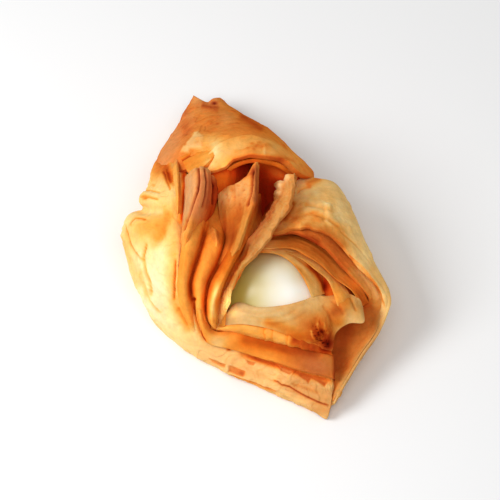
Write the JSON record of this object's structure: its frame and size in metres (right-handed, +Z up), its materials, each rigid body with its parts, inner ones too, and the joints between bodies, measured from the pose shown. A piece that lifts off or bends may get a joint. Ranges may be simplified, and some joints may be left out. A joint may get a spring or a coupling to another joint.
{
  "type": "egg puff",
  "caption": "Egg puff: a square of flaky puff pastry folded over half a boiled egg, with browned pleats and the egg white showing through a gap.",
  "frame": {"origin": "centre of the part's bounding box, at the underside that rests on the table", "axes": "+Z up; +Y along the puff from its near corner to its far corner, away from the viewer; +X to the viewer's right"},
  "size_m": [0.0804, 0.1138, 0.0451],
  "materials": {
    "baked_pastry": "baked, flaky, half matt with a light egg-wash sheen",
    "egg_white": "smooth, moist, soft gloss"
  },
  "bodies": {
    "root": {"pastry": "baked_pastry", "egg": "egg_white"}
  },
  "joints": []
}
